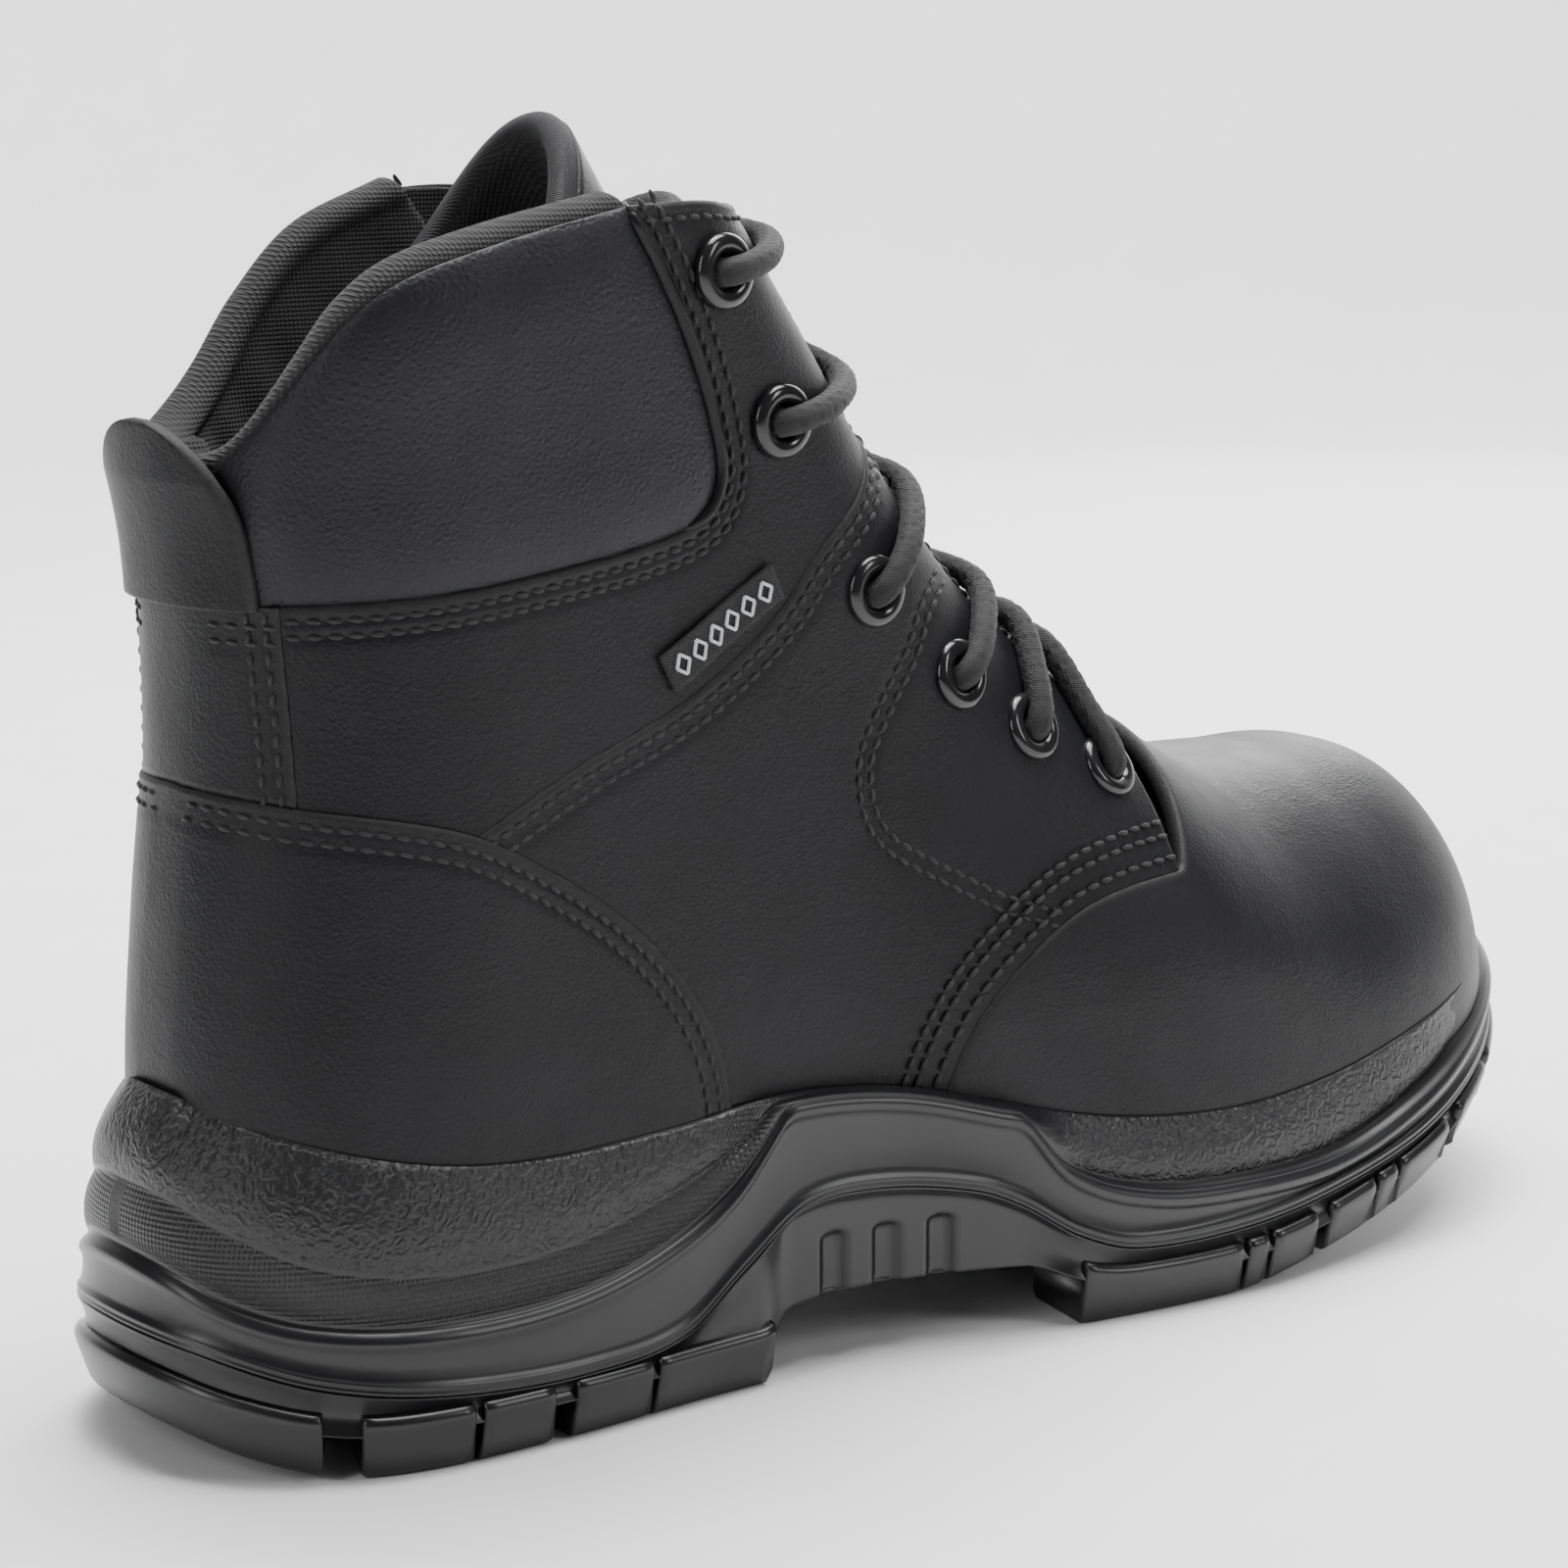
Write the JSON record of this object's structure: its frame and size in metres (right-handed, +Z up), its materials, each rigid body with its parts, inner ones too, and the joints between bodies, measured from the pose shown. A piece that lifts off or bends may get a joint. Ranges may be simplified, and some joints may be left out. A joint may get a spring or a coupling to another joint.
{
  "type": "steel toe work boot",
  "caption": "Six-inch laced safety boot, right foot: black leather upper, padded collar, tongue, protective toecap and a two-part lugged sole.",
  "frame": {"origin": "middle of the bounding box on the floor under the sole", "axes": "+X towards the toe, +Y towards the inner (medial) side, +Z up; a right boot, outer side on -Y"},
  "size_m": [0.3058, 0.1134, 0.2173],
  "materials": {
    "upper_leather": "full-grain leather, matte with a faint satin sheen",
    "collar_leather": "soft pebbled leather",
    "edge_piping": "dark folded piping",
    "twill_binding": "fine twill tape",
    "mesh_lining": "open knitted spacer mesh",
    "foam": "open-cell foam, hidden",
    "board": "pressed fibre board, hidden",
    "woven_plate": "dense aramid weave, hidden",
    "toecap_steel": "epoxy-coated pressed steel, hidden",
    "toecap_rubber": "soft edging, hidden",
    "midsole_pu": "foamed polyurethane with textured bands",
    "outsole_pu": "dense polyurethane, satin",
    "footbed_fabric": "felt-topped foam insole",
    "eyelet_paint": "glossy black enamel",
    "lace_braid": "round braided polyester",
    "aglet_plastic": "clear-coated black film",
    "label_weave": null
  },
  "bodies": {
    "boot": {"outsole": "outsole_pu", "midsole": "midsole_pu", "puncture_plate": "woven_plate", "insole_board": "board", "steel_toecap": "toecap_steel", "toecap_edging": "toecap_rubber", "heel_stiffener": "board", "vamp": "upper_leather", "quarter_lateral": "upper_leather", "quarter_medial": "upper_leather", "ankle_panel_lateral": "upper_leather", "ankle_panel_medial": "upper_leather", "heel_counter": "upper_leather", "backstay": "upper_leather", "collar_panel_lateral": "collar_leather", "collar_panel_medial": "collar_leather", "collar_piping": "edge_piping", "collar_foam": "foam", "collar_lining": "mesh_lining", "lining_vamp": "mesh_lining", "lining_quarter_lateral": "mesh_lining", "lining_quarter_medial": "mesh_lining", "lining_ankle_lateral": "mesh_lining", "lining_ankle_medial": "mesh_lining", "lining_heel": "mesh_lining", "eyestay_backer_lateral": "board", "eyestay_backer_medial": "board", "eyelets": "eyelet_paint", "lace": "lace_braid", "aglets": "aglet_plastic", "side_label": "label_weave"},
    "tongue": {"tongue_leather": "upper_leather", "tongue_foam": "foam", "tongue_lining": "mesh_lining", "tongue_binding": "twill_binding"},
    "tab": {"pull_tab": "upper_leather"},
    "insole": {"footbed": "footbed_fabric"}
  },
  "joints": [
    {"name": "tongue_tilt", "type": "hinge", "parent": "boot", "child": "tongue", "pos_m": [0.0435, 0, 0.088], "axis": [0, -1, 0], "range_deg": [0, 6.5]},
    {"name": "tab_bend", "type": "hinge", "parent": "boot", "child": "tab", "pos_m": [-0.1415, 0, 0.138], "axis": [0, -1, 0], "range_deg": [0, 60], "stiffness_Nm_per_rad": 0.02},
    {"name": "footbed_lift", "type": "hinge", "parent": "boot", "child": "insole", "pos_m": [0.134, 0.006, 0.036], "axis": [0, 1, 0], "range_deg": [0, 7.5]}
  ]
}
